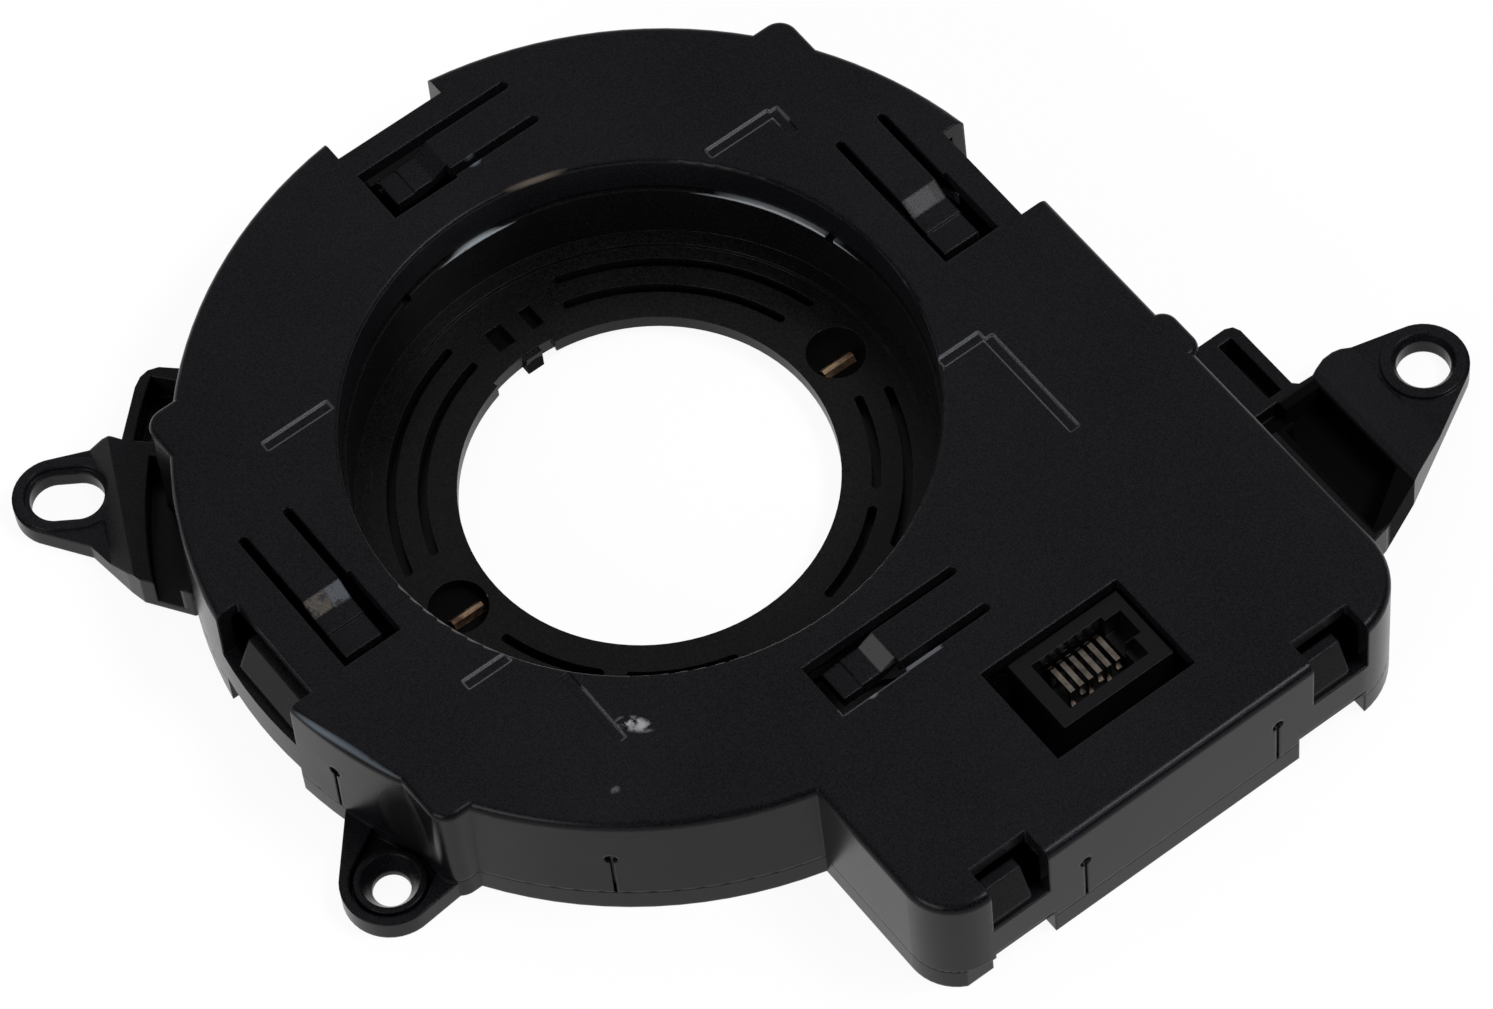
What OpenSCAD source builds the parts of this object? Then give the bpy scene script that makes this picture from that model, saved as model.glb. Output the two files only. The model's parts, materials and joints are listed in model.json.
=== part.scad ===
// Steering angle sensor: a flat snapped housing that sits round a steering shaft.
// The drive rotor turns with the shaft and carries a gear rim, which turns two small
// measuring gears with ring magnets over sensing chips on the circuit board.
// Millimetres. The origin is on the shaft axis, at the lower face of the drive ring's bore.

/* [Housing] */
// Outer radius of the round part of the housing
ring_r = 53.2; // [51:0.1:58]
// How far the round skirt flares out towards its lower edge
skirt_flare = 0.3; // [0:0.1:0.5]
// Reach of the wing beyond the round part, towards the front
wing_reach = 20.2; // [18:0.1:26]
// Distance of the wing's left side from the shaft axis
wing_left = 14.1; // [13:0.1:18]
// Radius of the wing's front right corner
corner_right = 9.2; // [7:0.1:12]
// Radius of the wing's front left corner
corner_left = 6.2; // [5:0.1:8]
// Height of the housing from its underside to the top plate
housing_h = 17.8; // [17:0.2:22]
// Height of the base's rim, from the underside to the seam
rim_h = 3.4; // [3:0.1:4.2]
// Thickness of the cover's skirt
wall = 1.8; // [1.4:0.1:2]
// Thickness of the top plate
plate = 2; // [1.6:0.1:2.4]
// Thickness of the base's floor
floor_t = 1.2; // [1:0.1:1.4]
// Radius of the cover's rounded top edge
edge_r = 1.2; // [0.6:0.1:1.4]
// How far the square corner bosses stand out from the round part
boss_out = 3.3; // [2.5:0.1:4.5]

/* [Hub well] */
// Radius of the round hole in the top plate
well_r = 34.1; // [33:0.1:35]
// Depth of the cover's collar inside the hole
collar_h = 5.3; // [4:0.1:6.5]
// Rounding of the hole's upper edge
well_edge = 0.5; // [0.3:0.1:1]

/* [Drive rotor] */
// Radius of the bore that the shaft hub passes through
bore_r = 22; // [20:0.1:23]
// Thickness of the drive ring
drive_t = 2; // [1.6:0.1:2.4]
// Radius of the inner row of spring slots
slot_in_r = 26; // [25.4:0.1:26.6]
// Distance between the inner and the outer row of spring slots
slot_rows = 3.6; // [3.3:0.1:4]
// Width of the spring slots
slot_w = 1.05; // [0.8:0.05:1.3]
// Radius of the round pockets for the contact clips
pocket_r = 3.5; // [3:0.1:3.7]
// Distance of the clip pockets from the axis
pocket_at = 26.9; // [26.4:0.1:27.2]

/* [Gears] */
// Tooth module of the gear train
gear_mod = 1; // [0.9:0.05:1.1]
// Teeth of the first measuring gear
teeth_a = 20; // [19:1:21]
// Teeth of the second measuring gear
teeth_b = 18; // [17:1:19]
// Face width of the teeth
tooth_w = 3; // [2.4:0.1:3.2]
// Radius of the measuring gears' axles
axle_r = 1.5; // [1.3:0.1:1.8]
// Running clearance of a journal, on the radius
running = 0.08; // [0.04:0.01:0.1]

/* [Latch tongues] */
// Length of a tongue from its root to its free end
tongue_l = 18.6; // [17.6:0.1:19]
// Width of a tongue
tongue_w = 4.9; // [4:0.1:5.4]
// Width of the slots beside a tongue
tongue_gap = 1.15; // [0.8:0.05:1.3]
// Depth of the ramp in a tongue
tongue_drop = 1.3; // [1:0.1:1.8]
// Gap between a tongue's free end and the end of its opening
tongue_end_gap = 1.8; // [1.4:0.1:2.4]

/* [Snap hooks] */
// Depth of the notches in the cover, below the top plate
notch_h = 8.1; // [7:0.1:9]
// Width of a front hook
hook_w = 5.3; // [4.4:0.1:6]
// Width of a hook on the round part
side_hook_w = 8.5; // [7:0.1:9]
// Width of the hook on the left side
left_hook_w = 10.8; // [9:0.1:11]

/* [Mounting ears] */
// Thickness of an ear's flange
ear_t = 2.6; // [2.2:0.1:2.8]
// Height of the stiffening walls above the underside
ear_wall_h = 5.1; // [4.6:0.1:6]
// Radius of the screw hole in the right ear
hole_right_r = 3.15; // [2.6:0.05:3.4]
// Radius of the screw hole in the left ear
hole_left_r = 2.2; // [2:0.05:2.8]
// Half the width of the slot in the rear ear
slot_hole_r = 3.1; // [2.6:0.05:3.3]
// Distance between the slot's end centres
slot_hole_l = 2.5; // [1.5:0.1:3.2]

/* [Circuit board and socket] */
// Thickness of the board
board_t = 1.6; // [1.2:0.1:1.8]
// Height of the board's underside above the floor
board_rise = 2.6; // [2.4:0.1:3]
// Length of the socket, along the wing's front
socket_l = 15.2; // [14.8:0.1:16]
// Width of the socket
socket_w = 10.1; // [9.8:0.1:11]
// Pitch of the contacts
contact_pitch = 1.27; // [1.2:0.01:1.3]
// Width of a contact
contact_w = 0.64; // [0.5:0.02:0.7]

/* [Hidden] */
$fn = 96;
seat_gap = 0.15;
eps = 0.02;
join_in = 0.01;
far = 200;

// Levels, counted from the lower face of the drive ring
key_drop = 1.4;
under_z = -key_drop;
floor_z = under_z + floor_t;
seam_z = under_z + rim_h;
top_z = under_z + housing_h;
ceiling_z = top_z - plate;
collar_z = top_z - collar_h;
notch_z = top_z - notch_h;
lip_h = 1.4;
band_z = seam_z + 1.2;

// Plan of the housing
front_y = -(ring_r + wing_reach);
right_x = ring_r;
left_x = -wing_left;
collar_t = 1.6;
lip_t = 1;
boss_angles = [141.8, 36.2, 210.9];
boss_depth = 12;
boss_corner = 2.4;
bulge_out = 1.3;
bulge_y = -29.9;
bulge_w = 7.2;
bulge_corner = 2;

// Openings of the top plate: middle and half size
tongue_root = 14.3;
tongue_n = 42.8;
tongue_s = -41.7;
tongue_e = 42.5;
tongue_v = -41.4;
ramp_x = 3.7;
ramp_l = 2.1;
ramp_back = 0.9;
block_in = 0.8;
end_side = 0.4;
window_l = 19.1;
window_w = 13.7;
window_x = 18.25;
window_y = front_y + 15.55;
rear_chord = ring_r - 3.5;
side_chord = ring_r - 3.6;
mark_w = 1.3;
mark_t = 0.3;
dot_z = top_z - 7.1;
dot_r = 0.75;
slit_w = 0.4;
slit_t = 0.4;

// Front notches and hooks: middle of notch, middle of hook
front_notch_w = 7.8;
front_notch_y = front_y + 4;
notch_xs = [-3.4, 41.3];
hook_xs = [-4.4, 40.1];
rim_gaps = [[-7.2, 1], [35.4, 44.8]];
side_notch_w = 14.6;
side_notch_at = 0.9;
left_hook_at = -0.2;
hook_t = 1.7;
side_step = 0.55;
rim_step = 0.7;

// Ears
ear_right = [right_x + 25.2, -43.4];
ear_rear_r = ring_r + 13.9;
ear_rear_a = 142.2;
slot_turn = 146;
ear_left_r = ring_r + 4.9;
ear_left_a = 203.7;
ear_boss_r = 5.3;
ear_left_boss_r = 5.7;
ear_skin = 1.3;
hole_land = 2.2;
hole_flare = 0.6;
flange_z = under_z + ear_t;
ear_wall_z = under_z + ear_wall_h;
pad_h = 0.4;
land_rest = ear_t + pad_h - hole_land;
ear_rear = polar(ear_rear_r, ear_rear_a);
ear_left = polar(ear_left_r, ear_left_a);

// Rotor
slot_out_r = slot_in_r + slot_rows;
sleeve_in_r = well_r - 0.4;
sleeve_out_r = well_r + 1.2;
skirt_r = well_r + 1.9;
journal_r = skirt_r + running;
journal_t = 1.3;
journal_h = 2.4;
sleeve_z = collar_z - 0.3;
rim_z = 4.9;
rotor_teeth = round(2 * (well_r + 2.9) / gear_mod);
key_w = 2.2;
key_r = bore_r + 0.05;
key_x = -0.2;
relief_r = bore_r + 0.6;
relief_from = 83;
relief_to = 106;
pocket_floor = 0.4;
pocket_h = drive_t - pocket_floor;
nick_h = 1.2;
clip_l = 4.2;
clip_w = 1.5;
clip_h = 0.9;
base_hole_r = bore_r + 1.6;

// Measuring gears: their centres lie where the pitch circles touch
rotor_pitch_r = gear_mod * rotor_teeth / 2;
angle_a = -90;
angle_b = -52;
gear_a = polar(rotor_pitch_r + gear_mod * teeth_a / 2, angle_a);
gear_b = polar(rotor_pitch_r + gear_mod * teeth_b / 2, angle_b);
gear_tip_a = gear_mod * (teeth_a / 2 + 0.9);
gear_tip_b = gear_mod * (teeth_b / 2 + 0.9);
magnet_in_r = 3;
magnet_out_r = 6;
magnet_t = 1.4;
shoulder_r = 2.5;
gear_hub_r = 3.4;
gear_hub_h = 0.9;
magnet_gap = 0.05;
stop_r = 1.2;
stop_in = 2.3;

// Board and what stands on it
board_z = floor_z + board_rise;
board_top = board_z + board_t;
board_x0 = left_x + wall + lip_t + 0.4;
board_x1 = right_x - wall - lip_t - 0.4;
board_y0 = front_y + wall + side_step + hook_t + 0.6;
board_y1 = -22;
board_arc_r = journal_r + journal_t + 1;
board_corner = 5;
recess_y = front_y + 10.5;
recess_xs = [[board_x0 - 1, notch_xs[0] + front_notch_w / 2 + 3],
    [notch_xs[1] - front_notch_w / 2 - 3, board_x1 + 1]];
part_gap = 0.7;
board_posts = [[board_x0 + 3, board_y0 + 9], [board_x1 - 4, board_y0 + 9], [board_x1 - 4, board_y1 - 3]];
post_r = 1.7;
gear_z = board_top + 1.2;
chip_t = 0.9;
chip_at = 5.3;
socket_x = 19.6;
socket_y = front_y + 16.8;
socket_top = top_z - 1.1;
socket_floor = top_z - 7;
socket_wall = 2;
contact_top = top_z - 3.2;
contact_t = 0.5;
contact_x0 = socket_x - 3.3;
contact_back = socket_y + 2.8;
contact_front = socket_y - 1.0;
contact_foot = top_z - 6.6;
contact_tail = board_z - 1;
contact_slack = 0.12;

function polar(r, a) = [r * cos(a), r * sin(a)];
function in_zone(a, from, to) = a >= from && a <= to;

// Straight sided gear tooth outline, thinned so that the mesh runs with backlash
function tooth(n, m, k) =
    let (p = 360 / n, r = m * n / 2, a = k * p, half = 0.205 * p)
    [
        polar(r - 1.2 * m, a - half * 1.55),
        polar(r, a - half),
        polar(r + 0.9 * m, a - half * 0.5),
        polar(r + 0.9 * m, a + half * 0.5),
        polar(r, a + half),
        polar(r - 1.2 * m, a + half * 1.55)
    ];
function gear_outline(n, m) = [for (k = [0:n - 1], q = tooth(n, m, k)) q];

// Turn that brings a small gear's gap onto the tooth of the large one beside it
function mesh_turn(a, big, small) =
    let (p = 360 / big, off = round(a / p) * p - a)
    a + 180 - off * big / small - 180 / small;

// Plan shapes
module sector(a0, a1, r) {
    n = max(2, ceil((a1 - a0) / 30));
    far_r = r / cos((a1 - a0) / n / 2);
    polygon(concat([[0, 0]], [for (i = [0:n]) polar(far_r, a0 + (a1 - a0) * i / n)]));
}

module tube(r_out, r_in, z0, z1) {
    translate([0, 0, z0]) difference() {
        cylinder(r = r_out, h = z1 - z0);
        translate([0, 0, -1]) cylinder(r = r_in, h = z1 - z0 + 2);
    }
}

module slab(z0, z1) {
    translate([0, 0, z0]) linear_extrude(height = z1 - z0) children();
}

module rounded_corner(cx, cy, r, depth) {
    translate([cx - depth, cy - depth]) square([depth - r, depth]);
    translate([cx - depth, cy - depth]) square([depth, depth - r]);
    translate([cx - r, cy - r]) circle(r = r);
}

module wing_plan(g) {
    rl = max(corner_left + g, 0.5);
    rr = max(corner_right + g, 0.5);
    x0 = left_x - g;
    x1 = right_x + g;
    y0 = front_y - g;
    y1 = -2;
    translate([x0 + rl, y0]) square([x1 - rr - x0 - rl, y1 - y0]);
    translate([x0, y0 + rl]) square([rl + 1, y1 - y0 - rl]);
    translate([x0 + rl, y0 + rl]) circle(r = rl);
    translate([x1 - rr - 1, y0 + rr]) square([rr + 1, y1 - y0 - rr]);
    translate([x1 - rr, y0 + rr]) circle(r = rr);
}

module boss_plan(a, g) {
    c = polar(ring_r + boss_out, a);
    mirror([c[0] < 0 ? 1 : 0, 0]) mirror([0, c[1] < 0 ? 1 : 0])
        rounded_corner(abs(c[0]) + g, abs(c[1]) + g, max(boss_corner + g, 0.4), boss_depth);
}

module bulge_plan(g) {
    translate([right_x - 6, bulge_y - bulge_w / 2 - g]) square([6 + bulge_out + g, bulge_w + 2 * g]);
}

// Outline of the whole housing, grown outwards by g
module body_plan(g) {
    circle(r = ring_r + g);
    wing_plan(g);
    for (a = boss_angles) boss_plan(a, g);
    bulge_plan(g);
}

// Outline of the base's rim, which follows the flared lower edge of the skirt
module rim_plan() {
    body_plan(0);
    circle(r = ring_r + skirt_flare);
}

// The tongues: one at the rear, one at the front and one at each side
module rear_and_front() {
    translate([0, tongue_n, 0]) children();
    translate([0, tongue_s, 0]) children();
}

module both_sides() {
    translate([tongue_e, 0, 0]) rotate([0, 0, 90]) children();
    translate([tongue_v, 0, 0]) rotate([0, 0, 90]) children();
}

module rear_side() { children(); }
module right_side() { rotate([0, 0, -90]) children(); }
module left_side() { rotate([0, 0, 90]) children(); }

// COVER

module rounded_post(r, z0, z1, f) {
    rotate_extrude() {
        translate([0, z0]) square([r - f, z1 - z0]);
        translate([0, z0]) square([r, z1 - z0 - f]);
        translate([r - f, z1 - f]) intersection() {
            circle(r = f);
            square([f, f]);
        }
    }
}

module ring_blank() {
    rotate_extrude() {
        translate([0, seam_z]) square([ring_r - edge_r, top_z - seam_z]);
        polygon([[0, seam_z], [ring_r + skirt_flare, seam_z], [ring_r, top_z - edge_r], [0, top_z - edge_r]]);
        translate([ring_r - edge_r, top_z - edge_r]) intersection() {
            circle(r = edge_r);
            square([edge_r, edge_r]);
        }
    }
}

// Straight stretch of the cover with a rounded upper edge: runs along X, outer face at y = 0
module edge_bar(x0, x1, depth, f) {
    translate([x0, 0, 0]) rotate([90, 0, 90]) linear_extrude(height = x1 - x0) {
        translate([0, seam_z]) square([depth, top_z - seam_z - f]);
        translate([f, seam_z]) square([depth - f, top_z - seam_z]);
        translate([f, top_z - f]) intersection() {
            circle(r = f);
            translate([-f, 0]) square([f, f]);
        }
    }
}

module wing_blank() {
    f = edge_r;
    rl = corner_left;
    rr = corner_right;
    deep = 12;
    translate([0, front_y, 0]) edge_bar(left_x + rl, right_x - rr, deep, f);
    translate([left_x, 0, 0]) rotate([0, 0, -90]) edge_bar(20, -front_y - rl, deep, f);
    translate([right_x, 0, 0]) rotate([0, 0, 90]) edge_bar(front_y + rr, -2, deep, f);
    translate([left_x + rl, front_y + rl]) rounded_post(rl, seam_z, top_z, f);
    translate([right_x - rr, front_y + rr]) rounded_post(rr, seam_z, top_z, f);
    slab(seam_z, top_z) difference() {
        wing_plan(-f - 0.5);
        circle(r = ring_r - 15);
    }
}

module boss_blank(a) {
    c = polar(ring_r + boss_out, a);
    f = edge_r * 0.7;
    r = boss_corner;
    deep = boss_depth;
    mirror([c[0] < 0 ? 1 : 0, 0]) mirror([0, c[1] < 0 ? 1 : 0]) translate([abs(c[0]), abs(c[1])]) {
        rotate([0, 0, 180]) edge_bar(r, deep, deep, f);
        rotate([0, 0, 90]) edge_bar(-deep, -r, deep, f);
        translate([-r, -r]) rounded_post(r, seam_z, top_z, f);
    }
}

module bulge_blank() {
    r = bulge_corner;
    f = edge_r * 0.7;
    y0 = bulge_y - bulge_w / 2;
    translate([right_x + bulge_out, 0, 0]) rotate([0, 0, 90]) edge_bar(y0 + r, y0 + bulge_w - r, 6, f);
    for (y = [y0 + r, y0 + bulge_w - r])
        translate([right_x + bulge_out - r, y]) rounded_post(r, seam_z, top_z, f);
}

// Opening round a tongue, whose flat part ends at x0
module tongue_cut(x0) {
    free_x = tongue_root - tongue_l - tongue_end_gap;
    cut_z = ceiling_z - 1;
    for (s = [-1, 1]) {
        y = s * (tongue_w + tongue_gap) / 2;
        translate([free_x, y - tongue_gap / 2, cut_z]) cube([tongue_root - free_x, tongue_gap, far]);
        translate([tongue_root, y, cut_z]) cylinder(d = tongue_gap, h = far, $fn = 24);
    }
    translate([free_x, -tongue_w / 2 - eps, cut_z]) cube([x0 - free_x, tongue_w + 2 * eps, far]);
    translate([free_x, -tongue_w / 2 - tongue_gap - end_side, cut_z])
        cube([x0 - free_x, end_side + eps, far]);
}

// Ramp and low block at a tongue's end, the block narrower on one side by side_in
module tongue_end(x0, side_in) {
    free_x = tongue_root - tongue_l;
    step = 0.3;
    t = tongue_drop;
    block_w = tongue_w - side_in;
    translate([0, tongue_w / 2, top_z]) rotate([90, 0, 0]) linear_extrude(height = block_w) polygon([
        [x0, 0],
        [x0 - ramp_l, -t],
        [x0 - 4.6, -t],
        [x0 - 4.6, -t - step],
        [free_x, -t - step],
        [free_x, -t - 1.9],
        [x0 - 3.5, -t - 1.9],
        [x0, -plate]
    ]);
}

module marks() {
    z = top_z - mark_t;
    for (r = [[-35.5, -26.5, 23], [27, 36, 23], [-36, -30.2, -16.4], [30.2, 36, -16.4]])
        translate([r[0], r[2] - mark_w / 2, z]) cube([r[1] - r[0], mark_w, 1]);
    for (r = [[19.1, 23.3, 36.4], [-32.8, -17, 36.4], [-32.8, -22.3, -26.8]])
        translate([r[2] - mark_w / 2, r[0], z]) cube([mark_w, r[1] - r[0], 1]);
}

// Moulded keyhole groove: a round dimple with a slit down to the seam, on a wall facing -Y
module keyhole() {
    translate([0, slit_t, dot_z]) rotate([90, 0, 0]) cylinder(r = dot_r, h = 3, $fn = 32);
    translate([-slit_w / 2, slit_t - 3, seam_z - 1]) cube([slit_w, 3, dot_z - seam_z + 1]);
}

// Notch through plate and skirt, for a hook on a wall facing +Y at distance r
module side_notch(chord, depth) {
    translate([side_notch_at - side_notch_w / 2, chord, top_z - depth]) cube([side_notch_w, 20, depth + 1]);
    translate([side_notch_at - side_notch_w / 2, ring_r - wall - 1, seam_z - 1])
        cube([side_notch_w, 20, band_z - seam_z + 1]);
}

module front_notch(i) {
    translate([notch_xs[i] - front_notch_w / 2, front_y - 5, notch_z])
        cube([front_notch_w, front_notch_y - front_y + 5, notch_h + 1]);
    translate([rim_gaps[i][0], front_y - 1, seam_z - 1])
        cube([rim_gaps[i][1] - rim_gaps[i][0], wall + 2, band_z - seam_z + 1]);
}

module cover_stops() {
    for (g = [gear_a, gear_b])
        translate([g[0], g[1] - stop_in, gear_z + tooth_w + gear_hub_h + 0.3])
            cylinder(r = stop_r, h = ceiling_z - gear_z - tooth_w - gear_hub_h - 0.3 + eps);
    for (p = board_posts)
        translate([p[0], p[1], board_top]) cylinder(r = post_r, h = ceiling_z - board_top + eps);
}

module cover() {
    color("#1c1c20") {
        difference() {
            union() {
                ring_blank();
                wing_blank();
                for (a = boss_angles) boss_blank(a);
                bulge_blank();
            }
            // The room inside, with the collar left standing round the hole
            slab(seam_z - 1, collar_z) body_plan(-wall);
            slab(collar_z - eps, ceiling_z) difference() {
                body_plan(-wall);
                circle(r = well_r + collar_t);
            }
            translate([0, 0, -50]) cylinder(r = well_r, h = far);
            rotate_extrude() difference() {
                translate([well_r - 1, top_z - well_edge]) square([well_edge + 1, well_edge + 1]);
                translate([well_r + well_edge, top_z - well_edge]) circle(r = well_edge);
            }
            rear_and_front() tongue_cut(ramp_x - ramp_back);
            both_sides() tongue_cut(ramp_x);
            rear_side() side_notch(rear_chord, notch_h + 4.4);
            right_side() mirror([1, 0, 0]) side_notch(side_chord, notch_h + 4.4);
            left_side() side_notch(side_chord, notch_h);
            for (i = [0, 1]) front_notch(i);
            slab(ceiling_z - 1, top_z + 1) translate([window_x - window_l / 2, window_y - window_w / 2])
                square([window_l, window_w]);
            marks();
            for (x = [5.4, 32.3]) translate([x, front_y, 0]) keyhole();
            for (a = [193.5, 229.5]) rotate([0, 0, a + 90]) translate([0, -ring_r, 0]) keyhole();
        }
        rear_and_front() tongue_end(ramp_x - ramp_back, block_in);
        both_sides() tongue_end(ramp_x, 0);
        cover_stops();
    }
}

// BASE

// Snap hook on a wall facing -Y: the arm stands inside the skirt, the nose over its edge
module hook(w, catch_z, tip_z, step) {
    a = wall + step;
    b = a + hook_t;
    nose = 0.3 + step;
    z = catch_z + seat_gap;
    translate([-w / 2, 0, 0]) rotate([90, 0, 90]) linear_extrude(height = w) polygon([
        [a, floor_z - eps],
        [b, floor_z - eps],
        [b, tip_z],
        [a + 0.3, tip_z],
        [nose, z + 1],
        [nose, z],
        [a, z]
    ]);
}

module hooks() {
    for (x = hook_xs) translate([x, front_y, 0]) hook(hook_w, notch_z, top_z - 3, seat_gap);
    low_z = top_z - notch_h - 4.4;
    for (h = [[180, -1], [90, 1]])
        rotate([0, 0, h[0]]) translate([h[1] * side_notch_at, -ring_r, 0])
            hook(side_hook_w, low_z, low_z + 4.4, side_step);
    rotate([0, 0, -90]) translate([-left_hook_at, -ring_r, 0])
        hook(left_hook_w, notch_z, top_z - 3, side_step);
}

// Openings in the rim under the hooks
module rim_openings() {
    z = under_z - 1;
    for (g = rim_gaps) translate([g[0], front_y - 3, z]) cube([g[1] - g[0], 3 + wall, far]);
    // Step where the rim lies back at the front left corner
    translate([left_x - 1, front_y - 1, z])
        cube([rim_gaps[0][0] - left_x + 1 + eps, 1 + rim_step, seam_z - z]);
    for (a = [0, 90, -90]) rotate([0, 0, a])
        translate([-side_notch_w / 2 + side_notch_at * (a == -90 ? -1 : 1), ring_r - wall - 0.5, z])
            cube([side_notch_w, 8, far]);
}

// Outline of an ear: a round boss and the web from its tangent points to two corners on the
// housing, the first on the clockwise side and the second on the other
module tangent_web(c, r, p, q) {
    in_r = r - join_in;
    d1 = norm(p - c);
    d2 = norm(q - c);
    t1 = atan2(p[1] - c[1], p[0] - c[0]) + acos(in_r / d1);
    t2 = atan2(q[1] - c[1], q[0] - c[0]) - acos(in_r / d2);
    polygon([c + polar(in_r, t1), p, q, c + polar(in_r, t2)]);
    translate(c) circle(r = r);
}

ear_right_low = [[right_x - 3, -61], [right_x + 6.8, -58.9], [right_x + 13.2, -56.1]];
ridge_x = right_x + 12.8;
ridge_y1 = -37.8;
pocket_x = right_x + 6.1;
pocket_wall_x = right_x + 10.8;
pocket_top_y = -26.7;

module ear_right_plan() {
    tangent_web(ear_right, ear_boss_r, ear_right_low[2], [right_x + 18.8, ridge_y1 + 1.6]);
    polygon([
        ear_right_low[0],
        ear_right_low[1],
        ear_right_low[2],
        [right_x + 20, -50],
        [right_x + 18.8, ridge_y1 + 1.6],
        [right_x + 17.6, ridge_y1 + 1.6],
        [right_x + 15.9, ridge_y1 + 1.2],
        [right_x + 13.3, ridge_y1 - 0.1],
        [pocket_wall_x + 0.6, ridge_y1],
        [pocket_wall_x, ridge_y1 + 0.6],
        [pocket_wall_x, pocket_top_y - 1.3],
        [pocket_wall_x - 0.4, pocket_top_y - 0.4],
        [pocket_wall_x - 1.3, pocket_top_y],
        [right_x - 3, pocket_top_y]
    ]);
}

module ear_right_body() {
    slope_l = 7;
    ridge = ridge_x - right_x + 5 + ear_skin;
    // Flange, then the box beside the housing with the slope that runs down from its ridge
    slab(under_z, flange_z) ear_right_plan();
    translate([ear_right[0], ear_right[1], flange_z - eps]) cylinder(r = ear_boss_r - 0.3, h = pad_h + eps);
    intersection() {
        slab(under_z, ear_wall_z) ear_right_plan();
        translate([right_x - 5, 0, under_z]) rotate([90, 0, 0])
            linear_extrude(height = 80) polygon([
                [0, 0],
                [ridge + slope_l, 0],
                [ridge + slope_l, ear_t - 0.4],
                [ridge, ear_wall_h],
                [0, ear_wall_h]
            ]);
    }
}

module ear_right_pockets() {
    z = floor_z;
    x0 = pocket_x;
    slab(z, far) polygon([
        [x0, ridge_y1 - 4],
        [x0 - 0.6, -58],
        [ridge_x, -53.4],
        [ridge_x, ridge_y1 - 1.8],
        [x0 + 1.4, ridge_y1 - 1.8],
        [x0 + 1.4, ridge_y1 - 4]
    ]);
    slab(z, far) translate([pocket_wall_x - 3.4, ridge_y1 + 0.6]) square([1.9, pocket_top_y - ridge_y1 - 2]);
    slab(z + 1.6, far) translate([pocket_x - 2.2, ridge_y1 - 3.4]) square([4, 3]);
}

// The rear ear's plan runs round the raised wall of its pockets, then out to the slotted boss
module ear_rear_plan() {
    a = polar(1, slot_turn);
    c = ear_rear + a * slot_hole_l / 2;
    tangent_web(c, ear_boss_r - 0.2, polar(ring_r + 10.3, 136.4), polar(ring_r + 11, 148.4));
    translate(ear_rear - a * slot_hole_l / 2) circle(r = ear_boss_r - 0.2);
    polygon([
        polar(ring_r - 2, 126.2),
        polar(ring_r + 3.5, 126.5),
        polar(ring_r + 5.9, 126.9),
        polar(ring_r + 7, 127.6),
        polar(ring_r + 7.6, 128.6),
        polar(ring_r + 7.8, 130),
        polar(ring_r + 7.8, 136.7),
        polar(ring_r + 9.1, 136.4),
        polar(ring_r + 10.3, 136.4),
        polar(ring_r + 11, 148.4),
        polar(ring_r + 7.1, 153.3),
        polar(ring_r + 5.8, 154.9),
        polar(ring_r + 0.6, 158.3),
        polar(ring_r - 2, 158.3)
    ]);
}

module ear_rear_body() {
    turn = 154.7;
    ridge = ring_r + 6.3;
    slab(under_z, flange_z) ear_rear_plan();
    slab(flange_z - eps, flange_z + pad_h) slot_shape(slot_hole_r + 1.7);
    intersection() {
        slab(under_z, ear_wall_z) ear_rear_plan();
        rotate([0, 0, turn]) translate([0, 60, under_z]) rotate([90, 0, 0])
            linear_extrude(height = 120) polygon([
                [0, 0],
                [ridge + 2.8, 0],
                [ridge + 2.8, ear_t - 0.3],
                [ridge, ear_wall_h],
                [0, ear_wall_h]
            ]);
    }
}

module ear_rear_pockets() {
    z = floor_z;
    slab(z, far) intersection() {
        difference() {
            circle(r = ring_r + 6.4);
            circle(r = ring_r - 1);
        }
        sector(128.2, 136.8, ring_r + 10);
    }
    slab(z, far) intersection() {
        difference() {
            circle(r = ring_r + 4.3);
            circle(r = ring_r - 1);
        }
        sector(138.6, 157.6, ring_r + 10);
    }
}

module slot_shape(r) {
    a = polar(1, slot_turn);
    translate(ear_rear + a * slot_hole_l / 2) circle(r = r);
    translate(ear_rear - a * slot_hole_l / 2) circle(r = r);
    translate(ear_rear) rotate(slot_turn) translate([-slot_hole_l / 2, -r + join_in])
        square([slot_hole_l, 2 * (r - join_in)]);
}

module ear_left_body() {
    rim_z1 = under_z + 2.9;
    slab(under_z, rim_z1)
        tangent_web(ear_left, ear_left_boss_r, polar(ring_r + 0.2, 194), polar(ring_r + 0.2, 212));
}

// Dished floor round the raised collar of the left ear
module ear_left_dish() {
    dish_z = under_z + 1.3;
    difference() {
        slab(dish_z, far) intersection() {
            tangent_web(ear_left, ear_left_boss_r - 1.1, polar(ring_r - 1, 198), polar(ring_r - 1, 208));
            circle(r = ring_r + 12);
        }
        translate([ear_left[0], ear_left[1], dish_z - 1]) cylinder(r = hole_left_r + 1.9, h = 2.4);
    }
}

module base_posts() {
    for (p = board_posts)
        translate([p[0], p[1], floor_z - eps]) cylinder(r = post_r + 0.8, h = board_rise + eps);
    for (g = [gear_a, gear_b]) translate([g[0], g[1], floor_z - eps]) {
        cylinder(r = shoulder_r, h = gear_z - 0.2 - floor_z + eps);
        cylinder(r = axle_r, h = gear_z + tooth_w + gear_hub_h - floor_z + eps);
    }
}

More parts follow.
